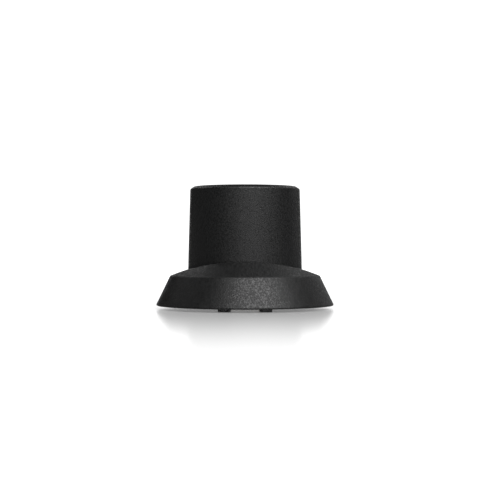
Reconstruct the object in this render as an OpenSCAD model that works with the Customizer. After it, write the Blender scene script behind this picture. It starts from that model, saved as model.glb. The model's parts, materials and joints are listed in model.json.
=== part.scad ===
// Compact satellite positioning receiver that screws onto a survey pole.
// A drafted radome with a helix antenna rises through a wide flared base.
// Origin: centre of the footprint, on the surface the feet stand on.
// +Z is up and the plain front is towards -Y, so the port and the button are at the back.

/* [Base shell] */
// Greatest diameter of the base, at its rim
base_d = 80.4; // [79:0.2:82]
// Height of the skirt's lower edge above the surface the feet stand on
skirt_z = 1.4; // [1.3:0.1:1.5]
// Lean of the flare from the vertical, in degrees
flare_tilt = 25.6; // [25:0.1:26]
// Height of the edge between the flare and the shoulder
shoulder_z = 14.9; // [14.7:0.1:15.1]
// Height of the crown, the barrel-shaped top of the base, along its middle
crown_z = 21.5; // [21.4:0.1:21.8]
// Radius of the crown across the base, about an axis along Y
crown_r = 91; // [88:0.5:94]
// Radius at which the shoulder reaches the top of the crown
ridge_r = 26.8; // [26.6:0.1:27.2]
// Wall thickness of the base shell
wall = 1.9; // [1.8:0.1:2]

/* [Radome] */
// Diameter of the radome where it leaves the base
radome_d = 51.7; // [51.4:0.1:51.8]
// Draft of the radome's side, in degrees
radome_draft = 1.56; // [1.4:0.02:1.6]
// Height of the radome's flat top
radome_top = 55.3; // [55:0.1:58]
// Wall thickness of the radome
radome_wall = 2; // [1.8:0.1:2]
// Width and height of the bevel round the radome's top
bevel_w = 1.7; // [1:0.1:2]
bevel_h = 1.2; // [0.8:0.1:1.6]

/* [Pole thread] */
// Radius of the tapped bore, the tap drill of a 5/8 inch 11 tpi thread
thread_r = 6.75; // [6.7:0.05:6.8]
// Length of the tapped bore above its lead-in chamfer
thread_len = 10; // [8:0.5:10]

/* [Door and button] */
// Width of the port door
door_w = 14.4; // [14:0.1:14.8]
// Height on the flare at which the door's hinge line lies
hinge_z = 12.9; // [12.8:0.1:13]
// Diameter of the power button
button_d = 5; // [4.6:0.1:5]
// Travel of the power button
button_travel = 0.5; // [0.3:0.05:0.5]
// Angle of the button and of the lights from the back, in degrees
control_angle = 30; // [29:1:32]

/* [Feet] */
// Radius at which the feet are placed
foot_r = 32; // [31.8:0.1:32.2]
// Angle of each foot to either side of the front and of the back, in degrees
foot_angle = 16.2; // [15:0.2:18]

/* [Hidden] */
$fn = 96;
over = 1;                                   // how far a cutting shape runs past a face

// Colours
shell_grey = [0.13, 0.13, 0.13];
rubber_black = [0.08, 0.08, 0.08];
board_green = [0.05, 0.3, 0.17];

// Outline of the base
rim_r = base_d / 2 + 0.23;                  // sharp corner that the rim's rounding trims
rim_z = skirt_z + 0.12;
skirt_r = rim_r - 1;
shoulder_lean = (flare_r(shoulder_z) - ridge_r) / (crown_z - shoulder_z);
outside_y = 41;                             // clear of the flare at the height of the port

// Seat of the bottom cover, and the ledge that its gasket seals against
seat_r = 37.25;
seat_z = 3.9;
ledge_r = 29.8;
ledge_top = 5.1;
cover_r = seat_r - 0.15;
cover_z = skirt_z + 0.2;
gasket_r = 31.2;                            // middle of the cover gasket
gasket_w = 1.2;
gasket_t = 0.8;

// Radome flange, clamped up against the collar by four screws
radome_foot_z = 18.2;                       // height at which the radome's diameter is given
cap_roof = 2.2;                             // thickness of the radome's flat top
flange_z = 12.8;
flange_t = 1.6;
flange_r = 28.6;
collar_r = 26.05;
collar_z = flange_z + flange_t + gasket_t;
lug_r = 29;                                 // circle of the four radome screws

// Cover screws
cover_screw_r = 34.2;
cover_screw_top = 8.4;
cover_screw_seat = 2.7;

// Thread insert and vent in the cover
insert_seat = 2.6;                          // height of the ledge behind the insert's flange
insert_r = 9.15;
flange_edge = 10.6;
insert_gap = 0.05;
vent_y = 17.5;
vent_seat = 2.5;

// Boards
board_t = 1.6;
main_r = 23.2;
main_z = 14.2;
main_top = main_z + board_t;
pillar_xy = [18.8, 6.85];
spacer_xy = [12.9, 12.9];
antenna_z = 20.4;
antenna_top = antenna_z + board_t;
port_z = 5.5;
port_t = 1.2;
port_top = port_z + port_t;
port_screw_r = 26;
port_screw_angle = 15;

// Port door, drawn from its hinge line
pin_r = 0.5;
pin_gap = 0.05;
knuckle_r = 1;
knuckle_gap = 0.25;
knuckle_w = 8.4;
hinge_depth = 0.9;
door_len = 8.1;
door_gap = 0.2;
door_start = 1.33;                          // where the full width of the panel begins
rebate_gap = 0.15;                          // behind the panel, to the bottom of its rebate

// USB receptacle
usb_w = 8.94;
usb_h = 3.2;
usb_len = 7.3;
usb_front = 33.5;
usb_z = port_top + usb_h / 2;
usb_gap = 0.1;

// Button and lights
control_z = 10.2;
bore_gap = 0.15;
light_r = 0.75;
light_step = 3.2;

// Antenna former
former_r = 15.5;
former_wall = 1.4;
former_top = 50;

function flare_r(z) = rim_r - (z - rim_z) * tan(flare_tilt);
function shoulder_r(z) = flare_r(shoulder_z) - (z - shoulder_z) * shoulder_lean;
function radome_r(z) = radome_d / 2 - (z - radome_foot_z) * tan(radome_draft);

// Outline with its corners rounded: each point is [x, y] or [x, y, corner radius]
function flat(p) = [p[0], p[1]];
function unit(v) = v / norm(v);
function turn(a) = a > 180 ? a - 360 : a < -180 ? a + 360 : a;
function corner(a, b, c, r, steps = 6) =
    let (u = unit(a - b), w = unit(c - b), half = acos(u * w) / 2,
         middle = b + unit(u + w) * r / sin(half),
         p = b + u * r / tan(half) - middle, q = b + w * r / tan(half) - middle,
         first = atan2(p[1], p[0]), sweep = turn(atan2(q[1], q[0]) - first))
    [for (i = [0:steps]) middle + r * [cos(first + sweep * i / steps), sin(first + sweep * i / steps)]];
function rounded(points) =
    let (n = len(points))
    [for (i = [0:n - 1])
        let (p = points[i])
        each (p[2] == undef ? [flat(p)]
            : corner(flat(points[(i + n - 1) % n]), flat(p), flat(points[(i + 1) % n]), p[2]))];

// Rectangle from one corner to the other, with rounded corners
module rounded_rect(low, high, r) {
    polygon(rounded([[low[0], low[1], r], [high[0], low[1], r],
                     [high[0], high[1], r], [low[0], high[1], r]]));
}

// Box from its lowest corner to its highest
module block(low, high) {
    translate(low) cube(high - low);
}

// Tube, or a disc when the bore is zero, between two heights
module ring(r, bore, low, high) {
    translate([0, 0, low]) difference() {
        cylinder(r = r, h = high - low);
        if (bore > 0) translate([0, 0, -over]) cylinder(r = bore, h = high - low + 2 * over);
    }
}

// Puts a child at each of the four corners (+-x, +-y)
module four_corners(xy) {
    for (x = [-1, 1], y = [-1, 1]) translate([x * xy[0], y * xy[1], 0]) children();
}

// Puts a child on the four radome lugs
module on_lugs() {
    for (a = [45:90:315]) rotate(a) translate([lug_r, 0, 0]) children();
}

// Puts a child at the four cover screws
module on_cover_screws() {
    for (a = [45:90:315]) rotate(a) translate([cover_screw_r, 0, 0]) children();
}

// Puts a child at the two port board screws
module on_port_screws() {
    for (s = [-1, 1]) rotate(90 + s * port_screw_angle) translate([port_screw_r, 0, 0]) children();
}

// Puts a child on the flare, with +Z along its outward normal and +X down its slope
module on_flare(angle, z) {
    rotate(angle) translate([flare_r(z), 0, z]) rotate([0, 90 - flare_tilt, 0]) children();
}

// Puts a child on the door's hinge line
module on_hinge() {
    on_flare(90, hinge_z) translate([0, 0, -hinge_depth]) children();
}

// Cylinder along the hinge line
module hinge_rod(r, w) {
    rotate([90, 0, 0]) cylinder(r = r, h = w, center = true);
}

// Pan-head screw, its head's seat at the origin and its shank upwards
module screw_up(head_r, head_h, shank_r, shank_len) {
    difference() {
        translate([0, 0, -head_h]) cylinder(r = head_r, h = head_h);
        translate([0, 0, -head_h - over]) cylinder(r = head_r * 0.45, h = head_h * 0.55 + over, $fn = 6);
    }
    cylinder(r = shank_r, h = shank_len);
}

// Round lead bent through a quarter turn in the plane of X and Y
module quarter_bend(bend_r, lead_r) {
    rotate_extrude(angle = 90) translate([bend_r, 0]) circle(r = lead_r, $fn = 24);
}

// Barrel whose axis lies along Y, set in from the crown's surface
module crown(inset) {
    translate([0, 0, crown_z - crown_r]) rotate([90, 0, 0])
        cylinder(r = crown_r - inset, h = 2 * base_d, center = true, $fn = 180);
}

// The base as a solid: flare, shoulder and crown
module base_solid() {
    intersection() {
        rotate_extrude() polygon(rounded([
            [0, skirt_z], [skirt_r, skirt_z, 1.5], [rim_r, rim_z, 0.5],
            [flare_r(shoulder_z), shoulder_z, 1.8],
            [shoulder_r(crown_z + over), crown_z + over], [0, crown_z + over]]));
        crown(0);
    }
}

// The hollow of the base, with the seat and the ledge of the bottom cover
module base_hollow() {
    inset = wall / cos(flare_tilt);
    bend_z = shoulder_z - 1.1;
    intersection() {
        rotate_extrude() polygon([
            [0, skirt_z - over], [seat_r, skirt_z - over], [seat_r, seat_z], [ledge_r, seat_z],
            [ledge_r, ledge_top], [flare_r(ledge_top) - inset, ledge_top],
            [flare_r(bend_z) - inset, bend_z], [shoulder_r(crown_z) - inset, crown_z - 0.5],
            [0, crown_z - 0.5]]);
        crown(wall);
    }
}

// Everything that stands inside the base shell and is moulded with it
module base_bosses() {
    ring(collar_r + 1.55, collar_r - over, collar_z, crown_z);
    on_lugs() ring(1.85, 0, flange_z + flange_t, crown_z);
    on_cover_screws() ring(2.7, 0, ledge_top - over, cover_screw_top + 1);
    block([-8.9, 31.7, seat_z], [8.9, outside_y, 14.6]);
    on_flare(90 + control_angle, control_z) ring(button_d / 2 + 1.4, 0, -3.7, 0);
}

// Openings at the back of the base shell: door rebate, plug pocket, button bore and lights
module base_openings() {
    on_hinge() {
        translate([0, 0, -hinge_depth - rebate_gap]) linear_extrude(4) rounded_rect(
            [door_start - door_gap, -door_w / 2 - door_gap], [door_len + door_gap, door_w / 2 + door_gap], 1);
        hinge_rod(knuckle_r + knuckle_gap, knuckle_w + 2 * door_gap);
        block([-knuckle_r - knuckle_gap, -knuckle_w / 2 - door_gap, 0],
              [door_start, knuckle_w / 2 + door_gap, 3]);
        block([0, -knuckle_w / 2 - door_gap, -hinge_depth - rebate_gap],
              [door_start, knuckle_w / 2 + door_gap, 1]);
        hinge_rod(pin_r + pin_gap, door_w - 0.4);
    }
    translate([0, outside_y, 0]) rotate([90, 0, 0]) linear_extrude(outside_y - usb_front)
        rounded_rect([-6.4, usb_z - 2.9], [6.4, usb_z + 3], 1.4);
    translate([0, usb_front + over, 0]) rotate([90, 0, 0]) linear_extrude(4) rounded_rect(
        [-usb_w / 2 - usb_gap, port_top - usb_gap], [usb_w / 2 + usb_gap, port_top + usb_h + usb_gap], 1.2);
    on_flare(90 + control_angle, control_z) {
        ring(button_d / 2 + bore_gap, 0, -4, over);
        ring(button_d / 2 + 0.55, 0, -4, -1.75);
    }
    on_flare(90 - control_angle, control_z)
        for (i = [-1:1]) translate([0, i * light_step, 0]) ring(light_r + pin_gap, 0, -4, over);
}

module base_shell() {
    color(shell_grey) difference() {
        base_solid();
        difference() {
            base_hollow();
            base_bosses();
        }
        ring(collar_r, 0, 12, crown_z + over);
        on_lugs() ring(0.85, 0, flange_z, 17.2);
        on_cover_screws() ring(1.25, 0, skirt_z, cover_screw_top);
        base_openings();
    }
}

module radome_cap() {
    top_r = radome_r(radome_top - bevel_h);
    color(shell_grey) difference() {
        union() {
            rotate_extrude() polygon(rounded([
                [radome_r(flange_z) - radome_wall, flange_z], [flange_r, flange_z],
                [flange_r, flange_z + flange_t],
                [radome_r(flange_z + flange_t), flange_z + flange_t],
                [top_r, radome_top - bevel_h, 1], [top_r - bevel_w, radome_top, 0.8],
                [0, radome_top], [0, radome_top - cap_roof],
                [radome_r(radome_top - 4) - radome_wall - 1, radome_top - cap_roof],
                [radome_r(radome_top - 4) - radome_wall, radome_top - 4]]));
            on_lugs() ring(2.2, 0, flange_z, flange_z + flange_t);
        }
        on_lugs() ring(1.1, 0, flange_z - over, flange_z + flange_t + over);
    }
}

module radome_gasket() {
    color(rubber_black) ring(27.05, 26.35, flange_z + flange_t, collar_z);
}

module radome_screws() {
    color("silver") on_lugs() translate([0, 0, flange_z]) screw_up(1.8, 1.2, 0.8, 4.2);
}

module bottom_cover() {
    color(shell_grey) difference() {
        union() {
            ring(cover_r, 0, cover_z, seat_z);
            ring(12.4, 0, seat_z - 0.1, 12.6);
            four_corners(pillar_xy) ring(2.2, 0, seat_z - 0.1, main_z);
            on_port_screws() ring(2, 0, seat_z - 0.1, port_z);
        }
        ring(flange_edge + 0.1, 0, 0, insert_seat);
        ring(insert_r + insert_gap, 0, 0, main_z);
        ring(gasket_r + gasket_w / 2, gasket_r - gasket_w / 2, seat_z - gasket_t, seat_z + over);
        on_cover_screws() {
            ring(2.4, 0, 0, cover_screw_seat);
            ring(1.45, 0, 0, seat_z + over);
        }
        four_corners(pillar_xy) ring(0.9, 0, 6.2, main_z + over);
        on_port_screws() ring(0.65, 0, 2.8, port_z + over);
        foot_shapes(0.05, 0, 2);
        translate([0, vent_y, 0]) {
            ring(3.4, 0, 0, vent_seat);
            ring(2.05, 0, 0, seat_z + over);
        }
    }
}

// Feet between two heights, made larger by a clearance where they cut their recesses
module foot_shapes(gap, low, high) {
    for (a = [0, 180], s = [-1, 1]) rotate(a + s * foot_angle)
        translate([0, -foot_r, low]) linear_extrude(high - low)
            rounded_rect([-2.6 - gap, -1.9 - gap], [2.6 + gap, 1.9 + gap], 1);
}

module rubber_feet() {
    color(rubber_black) foot_shapes(0, 0, 2);
}

module cover_gasket() {
    color("dimgray") ring(gasket_r + gasket_w / 2 - 0.1, gasket_r - gasket_w / 2 + 0.1,
                          seat_z - gasket_t, seat_z);
}

module cover_screws() {
    color("silver") on_cover_screws() translate([0, 0, cover_screw_seat]) screw_up(2.2, 0.9, 1.2, 5.5);
}

module thread_insert() {
    mouth = 1;
    top = mouth + 1 + thread_len;
    color("goldenrod") difference() {
        rotate_extrude() polygon([
            [0, mouth], [flange_edge - 0.2, mouth], [flange_edge, mouth + 0.2],
            [flange_edge, insert_seat], [insert_r, insert_seat], [insert_r, 5.4],
            [8.6, 5.8], [8.6, 6.8], [insert_r, 7.2], [insert_r, top + 1], [0, top + 1]]);
        translate([0, 0, mouth]) cylinder(r1 = thread_r + 1.25, r2 = thread_r, h = 1);
        translate([0, 0, mouth - over]) cylinder(r = thread_r, h = thread_len + 1 + over);
    }
}

// Blank plate, glued to the underside in front of the pole thread
module rating_label() {
    color("lightgrey") translate([0, 0, cover_z - 0.15]) linear_extrude(0.15)
        rounded_rect([-9, -26], [9, -16], 1.2);
}

module pressure_vent() {
    color(rubber_black) translate([0, vent_y, 0]) difference() {
        union() {
            ring(3.3, 0, 1.7, vent_seat);
            ring(2, 0, vent_seat - 0.1, 4.9);
        }
        ring(0.7, 0, 0, 6);
        for (a = [0:60:300]) rotate(a) translate([2.3, 0, 0]) ring(0.35, 0, 1.2, 2);
    }
}

module port_door() {
    color(shell_grey) intersection() {
        base_solid();
        on_hinge() difference() {
            union() {
                translate([0, 0, -hinge_depth]) linear_extrude(3) rounded_rect(
                    [door_start, -door_w / 2], [door_len, door_w / 2], 0.8);
                block([0, -knuckle_w / 2, -hinge_depth], [door_start + 1, knuckle_w / 2, 3]);
                hinge_rod(knuckle_r, knuckle_w);
            }
            hinge_rod(pin_r + pin_gap, knuckle_w + 2 * over);
            block([-2, -knuckle_w, knuckle_r], [door_start, knuckle_w, 4]);
        }
    }
}

module door_pin() {
    color("silver") on_hinge() hinge_rod(pin_r, door_w - 0.6);
}

// Soft plug on the door's inner face, which stands in the plug pocket
module door_seal() {
    color("dimgray") on_hinge() translate([0, 0, -hinge_depth - 0.8]) linear_extrude(0.8)
        rounded_rect([3.2, -5.4], [6.3, 5.4], 1);
}

module power_button() {
    r = button_d / 2;
    color(rubber_black) on_flare(90 + control_angle, control_z) rotate_extrude() polygon(rounded([
        [0, -4.8], [1, -4.8], [1, -2.7], [r + 0.4, -2.7], [r + 0.4, -1.9], [r, -1.9],
        [r, 0.7, 0.45], [0, 0.85]]));
}

module button_boot() {
    color("dimgray") on_flare(90 + control_angle, control_z) ring(button_d / 2 + 1, 1.2, -4.1, -3.7);
}

module light_pipes() {
    color("white") intersection() {
        base_solid();
        on_flare(90 - control_angle, control_z) {
            for (i = [-1:1]) translate([0, i * light_step, 0]) ring(light_r, 0, -4.6, 1);
            block([-0.9, -light_step - 1, -4.2], [0.9, light_step + 1, -3.2]);
        }
    }
}

module status_leds() {
    color("white") rotate(90 - control_angle)
        for (i = [-1:1]) translate([0, i * light_step, port_top]) block([29.4, -0.4, 0], [30.6, 0.4, 0.5]);
}

module power_switch() {
    color("silver") rotate(90 + control_angle) {
        block([26.9, -2.2, port_top], [30.1, 2.2, port_top + 3.3]);
        translate([30, 0, port_top + 1.7]) rotate([0, 90, 0]) cylinder(r = 0.8, h = 0.8);
    }
}

module usb_receptacle() {
    tongue = [0.7, 6.4];                     // thickness and width
    shell_t = 0.3;
    color("silver") difference() {
        translate([0, usb_front, 0]) rotate([90, 0, 0]) linear_extrude(usb_len)
            rounded_rect([-usb_w / 2, port_top], [usb_w / 2, port_top + usb_h], 1.1);
        difference() {
            translate([0, usb_front + over, 0]) rotate([90, 0, 0]) linear_extrude(6.2 + over)
                rounded_rect([-usb_w / 2 + shell_t, port_top + shell_t],
                             [usb_w / 2 - shell_t, port_top + usb_h - shell_t], 0.9);
            block([-tongue[1] / 2, usb_front - 7, usb_z - tongue[0] / 2],
                  [tongue[1] / 2, usb_front - 1, usb_z + tongue[0] / 2]);
        }
    }
}

module port_board() {
    reach = 42;                              // half the angle that the board spans
    color(board_green) translate([0, 0, port_z]) difference() {
        rotate(90 - reach) rotate_extrude(angle = 2 * reach)
            translate([23, 0]) square([8, port_t]);
        on_port_screws() ring(0.85, 0, -over, port_t + over);
    }
}

module port_screws() {
    color("silver") on_port_screws() translate([0, 0, port_top]) mirror([0, 0, 1]) screw_up(1.5, 1, 0.6, 3.4);
}

module port_flex() {
    color("darkorange") {
        block([-3, 22, port_top], [3, 24.8, port_top + 0.3]);
        block([-3, 22, port_top], [3, 22.3, main_z - 0.9]);
        block([-3.6, 19.4, main_z - 1], [3.6, 22.3, main_z]);
    }
}

module main_board() {
    color(board_green) difference() {
        ring(main_r, 0, main_z, main_top);
        four_corners(pillar_xy) ring(1.1, 0, main_z - over, main_top + over);
    }
}

module board_screws() {
    color("silver") four_corners(pillar_xy) translate([0, 0, main_top])
        mirror([0, 0, 1]) screw_up(1.8, 1.2, 0.85, 7);
}

module receiver_shield() {
    color("silver") difference() {
        block([-10, -8, main_top], [10, 8, main_top + 2.2]);
        block([-9.8, -7.8, main_top - over], [9.8, 7.8, main_top + 2]);
    }
}

module radio_module() {
    color("silver") block([10.8, -5.4, main_top], [16.4, 5.4, main_top + 2]);
}

module battery_cell() {
    color("silver") translate([0, 0, 5.8]) linear_extrude(5.2)
        rounded_rect([-16, -28.8], [16, -13], 1.5);
}

module battery_pad() {
    color("dimgray") block([-14, -26, seat_z], [14, -14, 5.8]);
}

// Battery plug on the main board's underside, and its two wires to the cell's end
module battery_lead() {
    bend = 1.5;
    reach = 16.3;
    color("firebrick") {
        block([8, -17, main_z - 2.6], [14, -14, main_z]);
        for (y = [-14.8, -16.2]) translate([0, y, 0]) {
            translate([13.5, 0, 12]) rotate([0, 90, 0]) cylinder(r = 0.5, h = reach - 13.5, $fn = 24);
            translate([reach, 0, 12 - bend]) rotate([90, 0, 0]) quarter_bend(bend, 0.5);
            translate([reach + bend, 0, 9]) cylinder(r = 0.5, h = 12 - bend - 9, $fn = 24);
            translate([reach, 0, 9]) rotate([-90, 0, 0]) quarter_bend(bend, 0.5);
            translate([16, 0, 9 - bend]) rotate([0, 90, 0]) cylinder(r = 0.5, h = reach - 16, $fn = 24);
        }
    }
}

module antenna_board() {
    color(board_green) difference() {
        ring(21.4, 0, antenna_z, antenna_top);
        four_corners(spacer_xy) ring(1.1, 0, antenna_z - over, antenna_top + over);
    }
}

module lna_shield() {
    color("silver") block([-7, -7, antenna_z - 1.8], [7, 7, antenna_z]);
}

module board_spacers() {
    color("goldenrod") four_corners(spacer_xy) difference() {
        translate([0, 0, main_top]) cylinder(r = 2.3, h = antenna_z - main_top, $fn = 6);
        ring(0.9, 0, main_top + 0.6, antenna_z + over);
    }
}

module antenna_screws() {
    color("silver") four_corners(spacer_xy) translate([0, 0, antenna_top])
        mirror([0, 0, 1]) screw_up(1.8, 1.2, 0.85, 5);
}

module antenna_former() {
    color("ivory") ring(former_r, former_r - former_wall, antenna_top, former_top);
}

// Four copper strips, each wound half a turn round the former
module helix_strips() {
    half = 6;                                // half the angle that a strip is wide
    gap = 0.02;
    color("peru") for (a = [0:90:270]) rotate(a) translate([0, 0, antenna_top + 0.3])
        linear_extrude(height = former_top - antenna_top - 0.6, twist = -180, slices = 30, $fn = 0)
            polygon([for (t = [-half:3:half]) (former_r + gap) * [cos(t), sin(t)],
                     for (t = [half:-3:-half]) (former_r + gap + 0.25) * [cos(t), sin(t)]]);
}

module helix_top_board() {
    color(board_green) ring(former_r, 3, former_top, former_top + 1.2);
}

module top_foam() {
    color("dimgray") ring(11, 0, former_top + 1.2, radome_top - cap_roof);
}

// Short coaxial lead from the main board up to the antenna board, with its two plugs
module coax_lead() {
    lead_r = 0.55;
    low = main_top + 0.6;
    high = antenna_z - 0.6;
    bend = (high - low) / 2;
    color("black") translate([-14.5, 0, 0]) {
        translate([0, -6, main_top]) cylinder(r = 1.3, h = 1.2, $fn = 32);
        translate([0, 6, antenna_z - 1.2]) cylinder(r = 1.3, h = 1.2, $fn = 32);
        translate([0, -5, low]) rotate([-90, 0, 0]) cylinder(r = lead_r, h = 5 - bend, $fn = 24);
        translate([0, -bend, low + bend]) rotate([0, 90, 0]) quarter_bend(bend, lead_r);
        translate([0, bend, low + bend]) rotate([0, 90, 0]) rotate(180) quarter_bend(bend, lead_r);
        translate([0, bend, high]) rotate([-90, 0, 0]) cylinder(r = lead_r, h = 5 - bend, $fn = 24);
    }
}

radome_cap();
radome_gasket();
radome_screws();
base_shell();
bottom_cover();
cover_gasket();
cover_screws();
rubber_feet();
thread_insert();
rating_label();
pressure_vent();
port_door();
door_pin();
door_seal();
power_button();
button_boot();
light_pipes();
status_leds();
power_switch();
usb_receptacle();
port_board();
port_screws();
port_flex();
main_board();
board_screws();
receiver_shield();
radio_module();
battery_cell();
battery_pad();
battery_lead();
antenna_board();
lna_shield();
board_spacers();
antenna_screws();
antenna_former();
helix_strips();
helix_top_board();
top_foam();
coax_lead();
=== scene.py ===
"""Looks of a compact positioning receiver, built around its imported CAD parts."""

import json
import math

import bmesh
import bpy
from mathutils import Matrix, Vector


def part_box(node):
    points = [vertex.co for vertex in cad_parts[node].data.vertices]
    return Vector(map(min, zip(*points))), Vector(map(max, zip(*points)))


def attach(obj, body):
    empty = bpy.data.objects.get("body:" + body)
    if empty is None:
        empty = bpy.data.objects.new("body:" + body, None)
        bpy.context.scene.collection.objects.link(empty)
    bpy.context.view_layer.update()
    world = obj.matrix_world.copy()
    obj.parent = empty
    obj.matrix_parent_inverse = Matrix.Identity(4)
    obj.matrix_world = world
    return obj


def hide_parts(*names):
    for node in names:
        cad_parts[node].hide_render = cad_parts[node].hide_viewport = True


bl_info = {
    "name": "Positioning Receiver Looks",
    "version": (1, 0, 0),
    "blender": (4, 5, 0),
    "location": "View3D > Sidebar > Receiver",
    "description": "Softens the shells, cuts the pole thread and gives every part its finish",
    "category": "Object",
}

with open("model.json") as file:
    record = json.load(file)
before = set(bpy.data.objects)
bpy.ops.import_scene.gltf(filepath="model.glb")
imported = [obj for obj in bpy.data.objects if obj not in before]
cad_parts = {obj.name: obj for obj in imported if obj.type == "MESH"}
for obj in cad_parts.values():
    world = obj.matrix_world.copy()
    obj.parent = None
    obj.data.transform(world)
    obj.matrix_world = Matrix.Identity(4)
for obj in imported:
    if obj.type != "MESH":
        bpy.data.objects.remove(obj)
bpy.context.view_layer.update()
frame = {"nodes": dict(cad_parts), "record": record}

MM = 0.001
NODES = frame["nodes"]
BODY_OF = {
    node: body
    for body, members in frame["record"]["behaviour"]["bodies"].items()
    for node in members
}


# ---------------------------------------------------------------- sizes and colours


class ShellSizes(bpy.types.PropertyGroup):
    """Softened edges of the moulded shells."""

    ridge_round: bpy.props.FloatProperty(
        name="Ridge rounding",
        description="Width of the rounding between the shoulder and the crown",
        default=0.45 * MM, min=0.05 * MM, max=1.5 * MM, subtype="DISTANCE", unit="LENGTH",
    )
    edge_round: bpy.props.FloatProperty(
        name="Edge rounding",
        description="Width of the rounding along every other moulded edge",
        default=0.16 * MM, min=0.05 * MM, max=0.5 * MM, subtype="DISTANCE", unit="LENGTH",
    )
    small_round: bpy.props.FloatProperty(
        name="Small edge rounding",
        description="Width of the rounding on the small parts",
        default=0.08 * MM, min=0.02 * MM, max=0.3 * MM, subtype="DISTANCE", unit="LENGTH",
    )
    sharp_angle: bpy.props.FloatProperty(
        name="Sharp angle",
        description="Edges that turn by more than this are rounded",
        default=math.radians(28), min=0.1, max=1.5, subtype="ANGLE", unit="ROTATION",
    )


class ThreadSizes(bpy.types.PropertyGroup):
    """Female pole thread, 5/8 inch with 11 turns to the inch."""

    pitch: bpy.props.FloatProperty(
        name="Pitch", description="Rise of the thread in one turn",
        default=25.4 / 11 * MM, min=1 * MM, max=4 * MM, subtype="DISTANCE", unit="LENGTH",
    )
    root_radius: bpy.props.FloatProperty(
        name="Root radius", description="Radius at the bottom of the groove",
        default=7.94 * MM, min=7.5 * MM, max=8.2 * MM, subtype="DISTANCE", unit="LENGTH",
    )
    crest_radius: bpy.props.FloatProperty(
        name="Crest radius", description="Radius at the top of the ridge",
        default=6.75 * MM, min=6.5 * MM, max=7.2 * MM, subtype="DISTANCE", unit="LENGTH",
    )
    steps: bpy.props.IntProperty(
        name="Steps", description="Straight steps in one turn of the thread",
        default=64, min=24, max=128,
    )


class FinishColours(bpy.types.PropertyGroup):
    """Colours of the finishes that show from outside."""

    shell: bpy.props.FloatVectorProperty(
        name="Shell", description="Moulded shell", size=3, subtype="COLOR",
        default=(0.0032, 0.0033, 0.0034), min=0, max=1,
    )
    cover: bpy.props.FloatVectorProperty(
        name="Cover", description="Bottom cover", size=3, subtype="COLOR",
        default=(0.0085, 0.0085, 0.0087), min=0, max=1,
    )
    rubber: bpy.props.FloatVectorProperty(
        name="Rubber", description="Feet, button and seals", size=3, subtype="COLOR",
        default=(0.011, 0.011, 0.0112), min=0, max=1,
    )
    brass: bpy.props.FloatVectorProperty(
        name="Brass", description="Thread insert and spacers", size=3, subtype="COLOR",
        default=(0.60, 0.41, 0.17), min=0, max=1,
    )
    steel: bpy.props.FloatVectorProperty(
        name="Steel", description="Screws and pins", size=3, subtype="COLOR",
        default=(0.46, 0.46, 0.47), min=0, max=1,
    )


class StageSettings(bpy.types.PropertyGroup):
    """Camera and lights."""

    distance: bpy.props.FloatProperty(
        name="Camera distance", description="From the camera to the receiver's axis",
        default=563.6 * MM, min=0.2, max=2, subtype="DISTANCE", unit="LENGTH",
    )
    height: bpy.props.FloatProperty(
        name="Camera height", description="Height of the level camera above the floor",
        default=28.8 * MM, min=0.0, max=0.2, subtype="DISTANCE", unit="LENGTH",
    )
    lens: bpy.props.FloatProperty(
        name="Lens", description="Focal length on a 36 mm wide sensor, in millimetres",
        default=91.1, min=30, max=200,
    )
    key_power: bpy.props.FloatProperty(
        name="Key light", description="Power of the soft light above the front, in watts",
        default=13.5, min=0, max=200,
    )
    back_power: bpy.props.FloatProperty(
        name="Back light", description="Power of each of the two soft lights above the back, in watts",
        default=1.8, min=0, max=200,
    )
    fill_power: bpy.props.FloatProperty(
        name="Fill light", description="Power of the weak light at the left, in watts",
        default=0.09, min=0, max=200,
    )
    side_power: bpy.props.FloatProperty(
        name="Side light", description="Power of the weak light behind the right, in watts",
        default=0.35, min=0, max=200,
    )
    under_power: bpy.props.FloatProperty(
        name="Under light", description="Power of the weak light below the floor, in watts",
        default=0.8, min=0, max=200,
    )
    backdrop_light: bpy.props.FloatProperty(
        name="Backdrop", description="Brightness of the white sheet behind the receiver",
        default=1.25, min=0, max=5,
    )
    room_light: bpy.props.FloatProperty(
        name="Room", description="Brightness of the dim room all round",
        default=0.012, min=0, max=2,
    )


# ---------------------------------------------------------------- shader nodes


def add_node(tree, kind, **settings):
    node = tree.nodes.new(kind)
    for key, value in settings.items():
        setattr(node, key, value)
    return node


def new_group(name, inputs, outputs):
    """An empty shader node group with named sockets."""
    tree = bpy.data.node_groups.new(name, "ShaderNodeTree")
    for label, kind, default in inputs:
        socket = tree.interface.new_socket(name=label, in_out="INPUT", socket_type=kind)
        socket.default_value = default
    for label, kind in outputs:
        tree.interface.new_socket(name=label, in_out="OUTPUT", socket_type=kind)
    entry = add_node(tree, "NodeGroupInput")
    leave = add_node(tree, "NodeGroupOutput")
    return tree, entry.outputs, leave.inputs


def feed(tree, socket, value):
    """Sets the socket to a number, or links it to another node's output."""
    if isinstance(value, (int, float)):
        socket.default_value = value
    else:
        tree.links.new(value, socket)


def math_node(tree, operation, first, second, clamp=False):
    node = add_node(tree, "ShaderNodeMath", operation=operation, use_clamp=clamp)
    feed(tree, node.inputs[0], first)
    feed(tree, node.inputs[1], second)
    return node.outputs[0]


def remap(tree, value, low, high, to_low=0.0, to_high=1.0):
    node = add_node(tree, "ShaderNodeMapRange", clamp=True, interpolation_type="SMOOTHSTEP")
    tree.links.new(value, node.inputs["Value"])
    limits = {"From Min": low, "From Max": high, "To Min": to_low, "To Max": to_high}
    for label, number in limits.items():
        node.inputs[label].default_value = number
    return node.outputs["Result"]


def noise(tree, vector, scale, detail=2.0, roughness=0.5):
    node = add_node(tree, "ShaderNodeTexNoise")
    tree.links.new(vector, node.inputs["Vector"])
    feed(tree, node.inputs["Scale"], scale)
    node.inputs["Detail"].default_value = detail
    node.inputs["Roughness"].default_value = roughness
    return node.outputs["Fac"]


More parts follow.
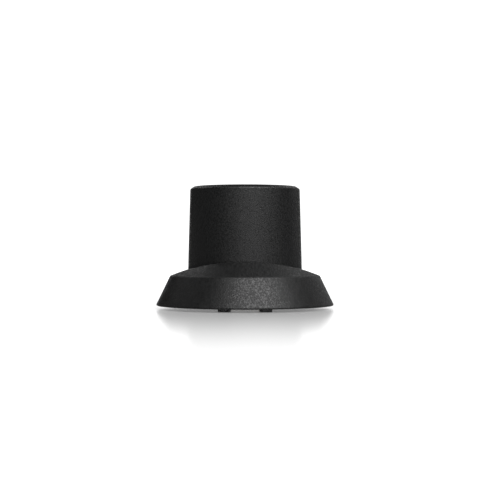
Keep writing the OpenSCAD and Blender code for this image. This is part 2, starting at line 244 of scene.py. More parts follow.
FLOAT, VECTOR = "NodeSocketFloat", "NodeSocketVector"


def grain_group():
    """Fine texture of a moulded surface: relief, bright flecks that also give painted glints, and slow
    clouding.
    """
    tree, given, out = new_group(
        "Moulded Grain",
        [("Grain Size", FLOAT, 0.3 * MM), ("Fleck Size", FLOAT, 0.5 * MM)],
        [("Height", FLOAT), ("Fleck", FLOAT), ("Cloud", FLOAT)],
    )
    place = add_node(tree, "ShaderNodeTexCoord").outputs["Object"]
    scale = math_node(tree, "DIVIDE", 1.0, given["Grain Size"])
    cells = add_node(tree, "ShaderNodeTexVoronoi", feature="SMOOTH_F1")
    tree.links.new(place, cells.inputs["Vector"])
    tree.links.new(scale, cells.inputs["Scale"])
    soft = noise(tree, place, math_node(tree, "MULTIPLY", scale, 1.4), 2.0, 0.5)
    pits = math_node(tree, "MULTIPLY", cells.outputs["Distance"], 0.7)
    height = math_node(tree, "ADD", pits, soft)
    tree.links.new(height, out["Height"])
    # The fleck mask lowers roughness, and in new_finish it lightens the colour as painted glints
    fleck = noise(tree, place, math_node(tree, "DIVIDE", 1.0, given["Fleck Size"]), 1.0, 0.5)
    tree.links.new(remap(tree, fleck, 0.4, 0.66), out["Fleck"])
    tree.links.new(noise(tree, place, 45.0, 3.0, 0.55), out["Cloud"])
    return tree


def wear_and_highlight_group():
    """Rubbed edges and painted edge highlight: a mask where the surface turns sharply, broken up by
    noise.
    """
    tree, given, out = new_group(
        "Edge Wear",
        [("Width", FLOAT, 0.2 * MM), ("Amount", FLOAT, 0.5)],
        [("Mask", FLOAT), ("Normal", VECTOR)],
    )
    bevel = add_node(tree, "ShaderNodeBevel", samples=4)
    tree.links.new(given["Width"], bevel.inputs["Radius"])
    surface = add_node(tree, "ShaderNodeNewGeometry")
    dot = add_node(tree, "ShaderNodeVectorMath", operation="DOT_PRODUCT")
    tree.links.new(bevel.outputs["Normal"], dot.inputs[0])
    tree.links.new(surface.outputs["Normal"], dot.inputs[1])
    turned = remap(tree, math_node(tree, "SUBTRACT", 1.0, dot.outputs["Value"]), 0.01, 0.16)
    place = add_node(tree, "ShaderNodeTexCoord").outputs["Object"]
    broken = remap(tree, noise(tree, place, 420.0, 3.0, 0.6), 0.38, 0.66)
    rubbed_and_highlit = math_node(tree, "MULTIPLY", turned, broken)
    mask = math_node(tree, "MULTIPLY", rubbed_and_highlit, given["Amount"], True)
    tree.links.new(mask, out["Mask"])
    tree.links.new(bevel.outputs["Normal"], out["Normal"])
    return tree


def dust_group():
    """Faint dust that settles on faces that look upwards."""
    tree, given, out = new_group(
        "Settled Dust", [("Amount", FLOAT, 0.2)], [("Mask", FLOAT)]
    )
    surface = add_node(tree, "ShaderNodeNewGeometry")
    split = add_node(tree, "ShaderNodeSeparateXYZ")
    tree.links.new(surface.outputs["Normal"], split.inputs[0])
    up = remap(tree, split.outputs["Z"], 0.35, 1.0)
    place = add_node(tree, "ShaderNodeTexCoord").outputs["Object"]
    patch = remap(tree, noise(tree, place, 240.0, 5.0, 0.7), 0.46, 0.7)
    resting = math_node(tree, "MULTIPLY", up, patch)
    mask = math_node(tree, "MULTIPLY", resting, given["Amount"], True)
    tree.links.new(mask, out["Mask"])
    return tree


def marks_group():
    """Fine circular tool marks about the upright axis, or straight ones along X."""
    tree, given, out = new_group(
        "Tool Marks",
        [("Spacing", FLOAT, 0.08 * MM), ("Straight", FLOAT, 0.0)],
        [("Height", FLOAT), ("Streak", FLOAT)],
    )
    place = add_node(tree, "ShaderNodeTexCoord").outputs["Object"]
    split = add_node(tree, "ShaderNodeSeparateXYZ")
    tree.links.new(place, split.inputs[0])
    flat = add_node(tree, "ShaderNodeCombineXYZ")
    tree.links.new(split.outputs["X"], flat.inputs["X"])
    tree.links.new(split.outputs["Y"], flat.inputs["Y"])
    length = add_node(tree, "ShaderNodeVectorMath", operation="LENGTH")
    tree.links.new(flat.outputs[0], length.inputs[0])
    round_share = math_node(tree, "SUBTRACT", 1.0, given["Straight"])
    from_axis = math_node(tree, "MULTIPLY", length.outputs["Value"], round_share)
    from_line = math_node(tree, "MULTIPLY", split.outputs["Y"], given["Straight"])
    across = math_node(tree, "ADD", from_axis, from_line)
    line = add_node(tree, "ShaderNodeCombineXYZ")
    tree.links.new(across, line.inputs["X"])
    tree.links.new(math_node(tree, "MULTIPLY", split.outputs["Z"], 0.7), line.inputs["Y"])
    scale = math_node(tree, "DIVIDE", 1.0, given["Spacing"])
    streak = noise(tree, line.outputs[0], scale, 2.0, 0.6)
    tree.links.new(streak, out["Height"])
    tree.links.new(remap(tree, streak, 0.35, 0.65), out["Streak"])
    return tree


def place_group(tree, name, **values):
    node = add_node(tree, "ShaderNodeGroup", node_tree=bpy.data.node_groups[name])
    for label, value in values.items():
        node.inputs[label.replace("_", " ")].default_value = value
    return node.outputs


def mix_colours(tree, factor, first, second):
    node = add_node(tree, "ShaderNodeMix", data_type="RGBA")
    tree.links.new(factor, node.inputs[0])
    for socket, value in ((node.inputs[6], first), (node.inputs[7], second)):
        if isinstance(value, tuple):
            socket.default_value = (*value[:3], 1.0)
        else:
            tree.links.new(value, socket)
    return node.outputs[2]


def scaled(colour, factor):
    return tuple(min(1.0, channel * factor) for channel in tuple(colour)[:3])


DUST_COLOUR = (0.22, 0.21, 0.2)
# Width of the edge mask for wear and painted edge highlight
WEAR_AND_HIGHLIGHT_WIDTH = 0.22 * MM


def new_finish(name, colour, roughness, metallic=0.0, grain=0.3 * MM, relief=0.012 * MM,
               fleck=0.5 * MM, sparkle=0.06, spread=0.05, second=None, wear_and_highlight=0.25, wear_and_highlight_colour=None,
               dust=0.0, marks=None, settings=None):
    """A material for one finish: grain with painted glints, clouding, rubbed edges with a painted edge
    highlight, dust and tool marks.
    """
    material = bpy.data.materials.new(name)
    material.use_nodes = True
    tree = material.node_tree
    shader = tree.nodes["Principled BSDF"]
    grained = place_group(tree, "Moulded Grain", Grain_Size=grain, Fleck_Size=fleck)
    worn_and_highlit = place_group(tree, "Edge Wear", Width=WEAR_AND_HIGHLIGHT_WIDTH, Amount=wear_and_highlight)
    base = tuple(colour)[:3]
    tone = mix_colours(tree, grained["Cloud"], scaled(base, 0.9), second or scaled(base, 1.12))
    # Painted glints: the flecks lighten the base colour towards 1.7 times its value
    painted_glint = math_node(tree, "MULTIPLY", grained["Fleck"], 0.35)
    tone = mix_colours(tree, painted_glint, tone, scaled(base, 1.7))
    # Lighter edges: rubbed wear, and on the moulded shell also a painted highlight along the ridge and
    # rims
    tone = mix_colours(tree, worn_and_highlit["Mask"], tone, wear_and_highlight_colour or scaled(base, 2.6))
    clouded = math_node(tree, "MULTIPLY", grained["Cloud"], 2 * spread)
    rough = math_node(tree, "ADD", roughness - spread, clouded)
    rough = math_node(tree, "SUBTRACT", rough, math_node(tree, "MULTIPLY", grained["Fleck"], sparkle))
    height = grained["Height"]
    if marks is not None:
        spacing, straight, share = marks
        cut = place_group(tree, "Tool Marks", Spacing=spacing, Straight=straight)
        height = math_node(tree, "ADD", height, math_node(tree, "MULTIPLY", cut["Height"], share))
        rough = math_node(tree, "ADD", rough, math_node(tree, "MULTIPLY", cut["Streak"], spread))
    if dust:
        settled = place_group(tree, "Settled Dust", Amount=dust)
        tone = mix_colours(tree, settled["Mask"], tone, DUST_COLOUR)
        rough = math_node(tree, "ADD", rough, math_node(tree, "MULTIPLY", settled["Mask"], 0.3))
    rough = math_node(tree, "SUBTRACT", rough, math_node(tree, "MULTIPLY", worn_and_highlit["Mask"], 0.08), True)
    bump = add_node(tree, "ShaderNodeBump")
    bump.inputs["Strength"].default_value = 1.0
    bump.inputs["Distance"].default_value = relief
    tree.links.new(height, bump.inputs["Height"])
    tree.links.new(worn_and_highlit["Normal"], bump.inputs["Normal"])
    tree.links.new(tone, shader.inputs["Base Color"])
    tree.links.new(rough, shader.inputs["Roughness"])
    tree.links.new(bump.outputs["Normal"], shader.inputs["Normal"])
    shader.inputs["Metallic"].default_value = metallic
    for label, value in (settings or {}).items():
        shader.inputs[label].default_value = value
    return material


# ---------------------------------------------------------------- mesh helpers


def merged_copy(node):
    """The CAD node's mesh as one joined skin, with its flat faces whole again."""
    bm = bmesh.new()
    bm.from_mesh(NODES[node].data)
    bmesh.ops.remove_doubles(bm, verts=bm.verts[:], dist=0.002 * MM)
    bmesh.ops.dissolve_degenerate(bm, edges=bm.edges[:], dist=0.001 * MM)
    bmesh.ops.dissolve_limit(
        bm, angle_limit=math.radians(0.3), verts=bm.verts[:], edges=bm.edges[:],
        use_dissolve_boundaries=False, delimit=set(),
    )
    return bm


def turned_edges(bm, angle, test=None):
    """Edges whose two faces turn by more than the angle, and that pass the test."""
    return [
        edge for edge in bm.edges
        if edge.is_manifold and edge.calc_face_angle(0) > angle and (test is None or test(edge))
    ]


def round_edges(bm, edges, width, segments=3):
    bmesh.ops.bevel(
        bm, geom=edges, offset=width, offset_type="OFFSET", segments=segments, profile=0.5,
        affect="EDGES", clamp_overlap=True, material=-1, loop_slide=True,
    )


def add_piece(bm, name, node, material, smooth_angle=40.0):
    """Turns the mesh into a piece that stands for a CAD node and rides with its body."""
    mesh = bpy.data.meshes.new(name)
    bm.to_mesh(mesh)
    bm.free()
    mesh.materials.append(material)
    mesh.shade_smooth()
    mesh.set_sharp_from_angle(angle=math.radians(smooth_angle))
    piece = bpy.data.objects.new(name, mesh)
    bpy.context.scene.collection.objects.link(piece)
    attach(piece, BODY_OF[node])
    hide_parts(node)
    return piece


def keep_flats_flat(piece):
    modifier = piece.modifiers.new("Weighted normals", "WEIGHTED_NORMAL")
    modifier.keep_sharp = True
    modifier.weight = 80


def softened(name, node, material, width, angle):
    """A joined copy of a CAD node with its sharp edges rounded."""
    bm = merged_copy(node)
    round_edges(bm, turned_edges(bm, angle), width)
    piece = add_piece(bm, name, node, material)
    keep_flats_flat(piece)
    return piece


def dress(material, *nodes):
    """Gives a finish to CAD nodes that keep their own shape."""
    for node in nodes:
        for slot in NODES[node].material_slots:
            slot.material = material


def finish_of(name):
    return bpy.data.materials[name]


# ---------------------------------------------------------------- operators


class RECEIVER_OT_finishes(bpy.types.Operator):
    """Make the shared node groups and every finish of the receiver"""

    bl_idname = "receiver.finishes"
    bl_label = "Finishes"

    def execute(self, context):
        colours = context.scene.receiver_colours
        for build in (grain_group, wear_and_highlight_group, dust_group, marks_group):
            build()
        # The shell's lighter edge colour is partly wear and partly a painted highlight along the ridge
        # and rims
        new_finish("Moulded Plastic", colours.shell, 0.56, grain=0.34 * MM, relief=0.07 * MM,
                   fleck=0.8 * MM, sparkle=0.2, spread=0.02,
                   wear_and_highlight=0.3, wear_and_highlight_colour=(0.03, 0.03, 0.031), dust=0.02,
                   settings={"Specular IOR Level": 0.4})
        new_finish("Cover Plastic", colours.cover, 0.5, grain=0.4 * MM, relief=0.02 * MM,
                   wear_and_highlight=0.4, wear_and_highlight_colour=(0.05, 0.05, 0.05))
        new_finish("Soft Rubber", colours.rubber, 0.68, grain=0.25 * MM, relief=0.008 * MM, wear_and_highlight=0.2)
        new_finish("Foot Rubber", (0.32, 0.32, 0.325), 0.8, grain=0.5 * MM, relief=0.03 * MM, wear_and_highlight=0.3,
                   wear_and_highlight_colour=(0.4, 0.4, 0.4))
        new_finish("Seal Silicone", scaled(colours.rubber, 2.2), 0.6, grain=0.6 * MM,
                   relief=0.01 * MM, wear_and_highlight=0.1)
        new_finish("Stainless Steel", colours.steel, 0.28, 1.0, grain=0.5 * MM, relief=0.004 * MM,
                   wear_and_highlight=0.4, wear_and_highlight_colour=(0.7, 0.7, 0.71), marks=(0.07 * MM, 0.0, 0.6))
        new_finish("Blackened Steel", (0.03, 0.03, 0.031), 0.4, 0.8, grain=0.5 * MM,
                   relief=0.004 * MM, wear_and_highlight=0.3, wear_and_highlight_colour=(0.2, 0.2, 0.2))
        new_finish("Turned Brass", colours.brass, 0.26, 1.0, grain=0.7 * MM, relief=0.006 * MM,
                   second=(0.47, 0.30, 0.12), wear_and_highlight=0.6, wear_and_highlight_colour=(0.78, 0.6, 0.32),
                   marks=(0.09 * MM, 0.0, 0.8))
        new_finish("Label Film", (0.4, 0.4, 0.41), 0.45, 0.3, grain=0.2 * MM, relief=0.003 * MM,
                   wear_and_highlight=0.5, wear_and_highlight_colour=(0.6, 0.6, 0.6), marks=(0.12 * MM, 1.0, 0.5))
        new_finish("Frosted Light Pipe", (0.72, 0.75, 0.76), 0.4, grain=0.15 * MM, relief=0.004 * MM,
                   wear_and_highlight=0.2, settings={"Transmission Weight": 0.6, "IOR": 1.49})
        new_finish("Light Chip", (0.85, 0.8, 0.5), 0.3, grain=0.2 * MM, relief=0.003 * MM, wear_and_highlight=0.1)
        new_finish("Tinned Steel", (0.56, 0.56, 0.57), 0.34, 1.0, grain=0.9 * MM, relief=0.006 * MM,
                   second=(0.48, 0.48, 0.5), wear_and_highlight=0.4, wear_and_highlight_colour=(0.75, 0.75, 0.76),
                   marks=(0.1 * MM, 1.0, 0.5))
        new_finish("Solder Mask", (0.012, 0.09, 0.035), 0.32, grain=0.8 * MM, relief=0.006 * MM,
                   second=(0.02, 0.14, 0.055), wear_and_highlight=0.6, wear_and_highlight_colour=(0.5, 0.42, 0.2))
        new_finish("Amber Film", (0.5, 0.2, 0.03), 0.28, grain=0.5 * MM, relief=0.004 * MM, wear_and_highlight=0.1)
        new_finish("Pouch Foil", (0.58, 0.58, 0.6), 0.36, 0.9, grain=2.2 * MM, relief=0.08 * MM,
                   second=(0.5, 0.5, 0.52), wear_and_highlight=0.4, wear_and_highlight_colour=(0.75, 0.75, 0.76))
        new_finish("Closed Cell Foam", (0.05, 0.05, 0.052), 0.9, grain=0.35 * MM,
                   relief=0.12 * MM, wear_and_highlight=0.1)
        new_finish("Wire Insulation", (0.02, 0.02, 0.021), 0.4, grain=0.4 * MM,
                   relief=0.004 * MM, wear_and_highlight=0.1)
        new_finish("Natural Plastic", (0.62, 0.58, 0.47), 0.45, grain=0.5 * MM, relief=0.01 * MM,
                   second=(0.68, 0.64, 0.54), wear_and_highlight=0.3, wear_and_highlight_colour=(0.74, 0.7, 0.6),
                   settings={"Subsurface Weight": 0.1, "Subsurface Scale": 1.0 * MM})
        new_finish("Copper Foil", (0.72, 0.33, 0.18), 0.3, 1.0, grain=0.6 * MM, relief=0.006 * MM,
                   second=(0.55, 0.24, 0.13), wear_and_highlight=0.4, wear_and_highlight_colour=(0.85, 0.5, 0.34),
                   marks=(0.1 * MM, 0.0, 0.4))
        return {"FINISHED"}


# Widths of the rounding on single pieces
FOOT_ROUND = 0.3 * MM
FLAP_ROUND = 0.12 * MM
FINE_ROUND = 0.04 * MM
PLATE_ROUND = 0.03 * MM

# The ridge of the base: least height above the shell's foot, how far the radome's flange reaches
# past the inner limit of the search, and the least turn of the surface
RIDGE_LIFT = 13 * MM
FLANGE_OVERHANG = 2 * MM
RIDGE_TURN = math.radians(12)


class RECEIVER_OT_base_shell(bpy.types.Operator):
    """Round the ridge and the edges of the flared base"""

    bl_idname = "receiver.base_shell"
    bl_label = "Base Shell"

    def execute(self, context):
        sizes = context.scene.receiver_shell
        shell_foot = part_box("base_shell")[0].z
        collar_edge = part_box("radome_cap")[1].x - FLANGE_OVERHANG
        bm = merged_copy("base_shell")

        def on_ridge(edge):
            middle = (edge.verts[0].co + edge.verts[1].co) / 2
            reach = math.hypot(middle.x, middle.y)
            along = (edge.verts[0].co - edge.verts[1].co).normalized()
            radial = Vector((middle.x, middle.y, 0)).normalized()
            return (middle.z > shell_foot + RIDGE_LIFT and reach > collar_edge
                    and abs(along.dot(radial)) < 0.7
                    and all(face.normal.z > 0.3 for face in edge.link_faces))

        ridge = turned_edges(bm, RIDGE_TURN, on_ridge)
        if not ridge:
            raise RuntimeError("the base shell has no ridge to round")
        round_edges(bm, ridge, sizes.ridge_round, 4)
        round_edges(bm, turned_edges(bm, sizes.sharp_angle), sizes.edge_round)
        piece = add_piece(bm, "base_housing", "base_shell", finish_of("Moulded Plastic"))
        keep_flats_flat(piece)
        return {"FINISHED"}


class RECEIVER_OT_radome(bpy.types.Operator):
    """Round the edges of the radome and its flange"""

    bl_idname = "receiver.radome"
    bl_label = "Radome"

    def execute(self, context):
        sizes = context.scene.receiver_shell
        softened("radome_dome", "radome_cap", finish_of("Moulded Plastic"),
                 sizes.edge_round, sizes.sharp_angle)
        dress(finish_of("Seal Silicone"), "radome_gasket")
        return {"FINISHED"}


class RECEIVER_OT_underside(bpy.types.Operator):
    """Finish the bottom cover with its feet, vent and plate"""

    bl_idname = "receiver.underside"
    bl_label = "Underside"

    def execute(self, context):
        sizes = context.scene.receiver_shell
        angle = sizes.sharp_angle
        softened("under_cover", "bottom_cover", finish_of("Cover Plastic"), sizes.edge_round, angle)
        softened("foot_pads", "rubber_feet", finish_of("Foot Rubber"), FOOT_ROUND, angle)
        softened("vent_plug", "pressure_vent", finish_of("Cover Plastic"), sizes.small_round, angle)
        softened("blank_plate", "rating_label", finish_of("Label Film"), PLATE_ROUND, angle)
        dress(finish_of("Seal Silicone"), "cover_gasket")
        return {"FINISHED"}


class RECEIVER_OT_port_door(bpy.types.Operator):
    """Round the port door, and finish its pin, its seal and the receptacle behind it"""

    bl_idname = "receiver.port_door"
    bl_label = "Port Door"

    def execute(self, context):
        sizes = context.scene.receiver_shell
        angle = sizes.sharp_angle
        softened("port_flap", "port_door", finish_of("Moulded Plastic"), FLAP_ROUND, angle)
        softened("flap_plug", "door_seal", finish_of("Seal Silicone"), sizes.edge_round, angle)
        softened("port_socket", "usb_receptacle", finish_of("Tinned Steel"), FINE_ROUND, angle)
        dress(finish_of("Blackened Steel"), "door_pin")
        return {"FINISHED"}


class RECEIVER_OT_controls(bpy.types.Operator):
    """Finish the power button, the light pipes and what lies behind them"""

    bl_idname = "receiver.controls"
    bl_label = "Button and Lights"

    def execute(self, context):
        sizes = context.scene.receiver_shell
        softened("power_key", "power_button", finish_of("Soft Rubber"), sizes.small_round,
                 sizes.sharp_angle)
        softened("light_window", "light_pipes", finish_of("Frosted Light Pipe"), FINE_ROUND,
                 sizes.sharp_angle)
        dress(finish_of("Seal Silicone"), "button_boot")
        dress(finish_of("Light Chip"), "status_leds")
        dress(finish_of("Tinned Steel"), "power_switch")
        return {"FINISHED"}


class RECEIVER_OT_thread_insert(bpy.types.Operator):
    """Turn the brass insert and cut its helical pole thread"""

    bl_idname = "receiver.thread_insert"
    bl_label = "Thread Insert"

    def execute(self, context):
        sizes = context.scene.receiver_thread
        low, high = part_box("thread_insert")
        mouth, flange_r = low.z, high.x
        roof = high.z - 1 * MM
        body_r, groove_r, flange_t = 9.15 * MM, 8.6 * MM, 1.6 * MM
        edge, lead = 0.2 * MM, 0.12 * MM
        root = sizes.root_radius
        profile = [
            (0, high.z), (body_r - edge, high.z), (body_r, high.z - edge),
            (body_r, mouth + 6.2 * MM), (groove_r, mouth + 5.8 * MM),
            (groove_r, mouth + 4.8 * MM), (body_r, mouth + 4.4 * MM),
            (body_r, mouth + flange_t), (flange_r, mouth + flange_t),
            (flange_r, mouth + edge), (flange_r - edge, mouth),
            (root + lead, mouth), (root, mouth + lead), (root, roof), (0, roof),
        ]
        bm = bmesh.new()
        points = [bm.verts.new((r, 0, z)) for r, z in profile]
        edges = [bm.edges.new(pair) for pair in zip(points, points[1:])]
        bmesh.ops.spin(
            bm, geom=points + edges, cent=(0, 0, 0), axis=(0, 0, 1), dvec=(0, 0, 0),
            angle=2 * math.pi, steps=128, use_merge=True, use_duplicate=False,
        )
        bmesh.ops.remove_doubles(bm, verts=bm.verts[:], dist=0.001 * MM)
        bmesh.ops.recalc_face_normals(bm, faces=bm.faces[:])
        self.cut_thread(bm, sizes, mouth, roof)
        piece = add_piece(bm, "pole_socket", "thread_insert", finish_of("Turned Brass"), 30)
        keep_flats_flat(piece)
        return {"FINISHED"}

    @staticmethod
    def cut_thread(bm, sizes, mouth, roof):
        """Sweeps the ridge of the thread up the bore, and chamfers it at the mouth."""
        root, crest, pitch = sizes.root_radius, sizes.crest_radius, sizes.pitch
        ridge = bmesh.new()
        flank = [(root + 0.1 * MM, 0.47 * pitch), (root, 0.43 * pitch), (crest, 0.125 * pitch)]
        section = [(r, -z) for r, z in flank] + flank[::-1]
        runout = 0.3 * pitch
        start = mouth - runout
        face = ridge.faces.new([ridge.verts.new((r, 0, start + z)) for r, z in section])
        turns = (roof - start + runout) / pitch
        steps = int(turns * sizes.steps)
        bmesh.ops.spin(
            ridge, geom=[face], cent=(0, 0, 0), axis=(0, 0, 1), dvec=(0, 0, pitch / sizes.steps),
            angle=steps * 2 * math.pi / sizes.steps, steps=steps, use_merge=False, use_duplicate=False,
        )
        bmesh.ops.remove_doubles(ridge, verts=ridge.verts[:], dist=0.0005 * MM)
        for height, side in ((mouth + 0.05 * MM, -1), (roof + 0.02 * MM, 1)):
            cut = bmesh.ops.bisect_plane(
                ridge, geom=ridge.verts[:] + ridge.edges[:] + ridge.faces[:], dist=1e-7,
                plane_co=(0, 0, height), plane_no=(0, 0, side), clear_outer=True, clear_inner=False,
            )
            rim = [item for item in cut["geom_cut"] if isinstance(item, bmesh.types.BMEdge)]
            bmesh.ops.holes_fill(ridge, edges=rim, sides=0)
        open_rim = [edge for edge in ridge.edges if edge.is_boundary]
        if open_rim:
            bmesh.ops.holes_fill(ridge, edges=open_rim, sides=0)
        chamfer_slope, chamfer_start = 1.25, root + 0.06 * MM
        for vert in ridge.verts:
            reach = math.hypot(vert.co.x, vert.co.y)
            least = chamfer_start - (vert.co.z - mouth) * chamfer_slope
            if reach < least:
                vert.co.x *= least / reach
                vert.co.y *= least / reach
        bmesh.ops.recalc_face_normals(ridge, faces=ridge.faces[:])
        mesh = bpy.data.meshes.new("thread_ridge")
        ridge.to_mesh(mesh)
        ridge.free()
        bm.from_mesh(mesh)
        bpy.data.meshes.remove(mesh)


class RECEIVER_OT_fasteners(bpy.types.Operator):
    """Round and finish the screws"""

    bl_idname = "receiver.fasteners"
    bl_label = "Screws"

    def execute(self, context):
        sizes = context.scene.receiver_shell
        softened("cover_bolts", "cover_screws", finish_of("Stainless Steel"),
                 sizes.small_round, sizes.sharp_angle)
        dress(finish_of("Stainless Steel"), "radome_screws", "port_screws", "board_screws",
              "antenna_screws")
        dress(finish_of("Turned Brass"), "board_spacers")
        return {"FINISHED"}


class RECEIVER_OT_electronics(bpy.types.Operator):
    """Finish the boards, the shields, the battery and the leads"""

    bl_idname = "receiver.electronics"
    bl_label = "Electronics"

    def execute(self, context):
        dress(finish_of("Solder Mask"), "port_board", "main_board", "antenna_board", "helix_top_board")
        dress(finish_of("Tinned Steel"), "receiver_shield", "radio_module", "lna_shield")
        dress(finish_of("Amber Film"), "port_flex")
        dress(finish_of("Pouch Foil"), "battery_cell")
        dress(finish_of("Closed Cell Foam"), "battery_pad", "top_foam")
        dress(finish_of("Wire Insulation"), "battery_lead", "coax_lead")
        return {"FINISHED"}


class RECEIVER_OT_antenna(bpy.types.Operator):
    """Finish the antenna former and its four copper strips"""

    bl_idname = "receiver.antenna"
    bl_label = "Antenna"

    def execute(self, context):
        dress(finish_of("Natural Plastic"), "antenna_former")
        dress(finish_of("Copper Foil"), "helix_strips")
        return {"FINISHED"}


# Soft lights: name, place, width, height and the setting that holds the power
LIGHTS = (
    ("key", (0.25, -0.66, 0.62), 1.0, 0.44, "key_power"),
    ("back_left", (-0.78, 0.6, 0.9), 0.5, 0.4, "back_power"),
    ("back_right", (0.78, 0.6, 0.9), 0.5, 0.4, "back_power"),
    ("fill", (-0.85, 0.05, 0.6), 0.6, 0.6, "fill_power"),
    ("side", (0.72, 0.84, 0.32), 0.3, 0.35, "side_power"),
    ("under", (0, -0.5, -0.5), 0.6, 0.5, "under_power"),
)
LIGHT_AIM = Vector((0, 0, 0.03))
FLOOR_HALF = (3.0, 3.0)
# The floor's own glow, dim near the receiver as a painted contact shadow: from how near to how far
# it grows, between which strengths, and the share of it that lights other things
SHADOW_TO_GLOW_REACH = (0.03, 0.27)
SHADOW_TO_GLOW_RANGE = (0.17, 0.75)
GLOW_BOUNCE = 0.15
BACKDROP_HALF = (0.5, 0.6)
BACKDROP_PLACE = (0, 1.4, 0.6)


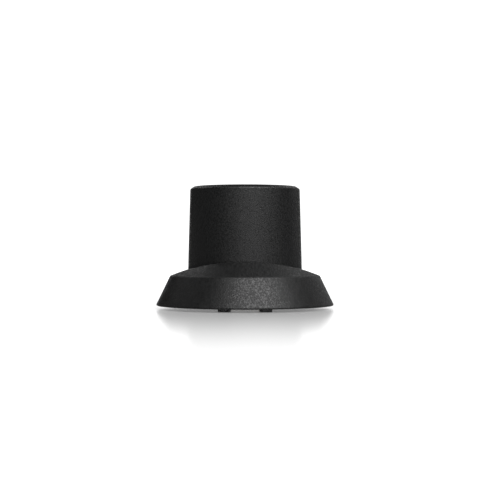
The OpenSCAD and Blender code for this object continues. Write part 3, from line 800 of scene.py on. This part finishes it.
class RECEIVER_OT_stage(bpy.types.Operator):
    """Make the white floor, the backdrop, the lights and the camera"""

    bl_idname = "receiver.stage"
    bl_label = "Stage"

    def execute(self, context):
        stage = context.scene.receiver_stage
        scene = context.scene
        scene.view_settings.view_transform = "Standard"
        self.make_floor(scene)
        self.make_backdrop(scene, stage)
        self.make_room(scene, stage)
        self.make_lights(scene, stage)
        self.make_camera(scene, stage)
        return {"FINISHED"}

    @staticmethod
    def make_sheet(scene, name, half, material, turn=None):
        bm = bmesh.new()
        bmesh.ops.create_grid(bm, x_segments=8, y_segments=8, size=1)
        bmesh.ops.scale(bm, verts=bm.verts[:], vec=(half[0], half[1], 1))
        if turn is not None:
            turn(bm)
        mesh = bpy.data.meshes.new(name)
        bm.to_mesh(mesh)
        bm.free()
        mesh.materials.append(material)
        sheet = bpy.data.objects.new(name, mesh)
        scene.collection.objects.link(sheet)

    def make_floor(self, scene):
        material = bpy.data.materials.new("Floor White")
        material.use_nodes = True
        tree = material.node_tree
        shader = tree.nodes["Principled BSDF"]
        place = add_node(tree, "ShaderNodeTexCoord").outputs["Object"]
        cloud = noise(tree, place, 3.0, 2.0, 0.5)
        white = mix_colours(tree, cloud, (0.38, 0.38, 0.38), (0.42, 0.42, 0.42))
        tree.links.new(white, shader.inputs["Base Color"])
        tree.links.new(remap(tree, cloud, 0.0, 1.0, 0.17, 0.19), shader.inputs["Roughness"])
        away = add_node(tree, "ShaderNodeVectorMath", operation="LENGTH")
        tree.links.new(place, away.inputs[0])
        # Painted contact shadow: the floor's glow is dim near the receiver and grows with distance
        # from it
        glow = remap(tree, away.outputs["Value"], *SHADOW_TO_GLOW_REACH, *SHADOW_TO_GLOW_RANGE)
        tree.links.new(mix_colours(tree, glow, (0, 0, 0), (1, 1, 1)), shader.inputs["Emission Color"])
        path = add_node(tree, "ShaderNodeLightPath")
        seen = remap(tree, path.outputs["Is Camera Ray"], 0.0, 1.0, GLOW_BOUNCE, 1.0)
        tree.links.new(seen, shader.inputs["Emission Strength"])
        clear = add_node(tree, "ShaderNodeBsdfTransparent")
        side = add_node(tree, "ShaderNodeMixShader")
        surface = add_node(tree, "ShaderNodeNewGeometry")
        tree.links.new(surface.outputs["Backfacing"], side.inputs[0])
        tree.links.new(shader.outputs[0], side.inputs[1])
        tree.links.new(clear.outputs[0], side.inputs[2])
        tree.links.new(side.outputs[0], tree.nodes["Material Output"].inputs["Surface"])
        self.make_sheet(scene, "floor", FLOOR_HALF, material)

    def make_backdrop(self, scene, stage):
        material = bpy.data.materials.new("Backdrop White")
        material.use_nodes = True
        tree = material.node_tree
        tree.nodes.clear()
        glow = add_node(tree, "ShaderNodeEmission")
        glow.inputs["Strength"].default_value = stage.backdrop_light
        out = add_node(tree, "ShaderNodeOutputMaterial")
        tree.links.new(glow.outputs[0], out.inputs["Surface"])

        def stand(bm):
            bmesh.ops.rotate(bm, verts=bm.verts[:], cent=(0, 0, 0),
                             matrix=Matrix.Rotation(math.pi / 2, 3, "X"))
            bmesh.ops.translate(bm, verts=bm.verts[:], vec=BACKDROP_PLACE)

        self.make_sheet(scene, "backdrop", BACKDROP_HALF, material, stand)

    @staticmethod
    def make_room(scene, stage):
        world = bpy.data.worlds.new("Studio Room")
        scene.world = world
        world.use_nodes = True
        tree = world.node_tree
        tree.nodes.clear()
        path = add_node(tree, "ShaderNodeLightPath")
        strength = remap(tree, path.outputs["Is Camera Ray"], 0.0, 1.0, stage.room_light, 1.0)
        glow = add_node(tree, "ShaderNodeBackground")
        glow.inputs["Color"].default_value = (1, 1, 1, 1)
        tree.links.new(strength, glow.inputs["Strength"])
        out = add_node(tree, "ShaderNodeOutputWorld")
        tree.links.new(glow.outputs[0], out.inputs["Surface"])

    @staticmethod
    def make_light(scene, name, place, width, height, power):
        light = bpy.data.lights.new(name, "AREA")
        light.shape = "RECTANGLE"
        light.size, light.size_y = width, height
        light.energy = power
        lamp = bpy.data.objects.new(name, light)
        scene.collection.objects.link(lamp)
        lamp.location = place
        lamp.rotation_euler = (LIGHT_AIM - Vector(place)).to_track_quat("-Z", "Y").to_euler()

    def make_lights(self, scene, stage):
        for name, place, width, height, power in LIGHTS:
            self.make_light(scene, name, place, width, height, getattr(stage, power))

    @staticmethod
    def make_camera(scene, stage):
        camera = bpy.data.cameras.new("camera")
        camera.lens = stage.lens
        camera.sensor_width = 36
        camera.clip_start = 0.02
        camera.clip_end = 20
        holder = bpy.data.objects.new("camera", camera)
        scene.collection.objects.link(holder)
        holder.location = (0, -stage.distance, stage.height)
        holder.rotation_euler = (math.pi / 2, 0, 0)
        scene.camera = holder


STEPS = (
    RECEIVER_OT_finishes, RECEIVER_OT_base_shell, RECEIVER_OT_radome, RECEIVER_OT_underside,
    RECEIVER_OT_port_door, RECEIVER_OT_controls, RECEIVER_OT_thread_insert,
    RECEIVER_OT_fasteners, RECEIVER_OT_electronics, RECEIVER_OT_antenna, RECEIVER_OT_stage,
)


class RECEIVER_PT_panel(bpy.types.Panel):
    """Sizes, colours and steps of the receiver"""

    bl_label = "Receiver"
    bl_idname = "RECEIVER_PT_panel"
    bl_space_type = "VIEW_3D"
    bl_region_type = "UI"
    bl_category = "Receiver"

    def draw(self, context):
        layout = self.layout
        for attribute in GROUPS:
            box = layout.box()
            settings = getattr(context.scene, attribute)
            for name in settings.__annotations__:
                box.prop(settings, name)
        for step in STEPS:
            layout.operator(step.bl_idname)


GROUPS = {
    "receiver_shell": ShellSizes,
    "receiver_thread": ThreadSizes,
    "receiver_colours": FinishColours,
    "receiver_stage": StageSettings,
}


def register():
    for cls in (*GROUPS.values(), *STEPS, RECEIVER_PT_panel):
        bpy.utils.register_class(cls)
    for attribute, cls in GROUPS.items():
        setattr(bpy.types.Scene, attribute, bpy.props.PointerProperty(type=cls))


def unregister():
    for attribute in GROUPS:
        delattr(bpy.types.Scene, attribute)
    for cls in reversed((*GROUPS.values(), *STEPS, RECEIVER_PT_panel)):
        bpy.utils.unregister_class(cls)


def main():
    register()
    for step in STEPS:
        area, action = step.bl_idname.split(".")
        getattr(getattr(bpy.ops, area), action)()


if __name__ == "__main__":
    main()
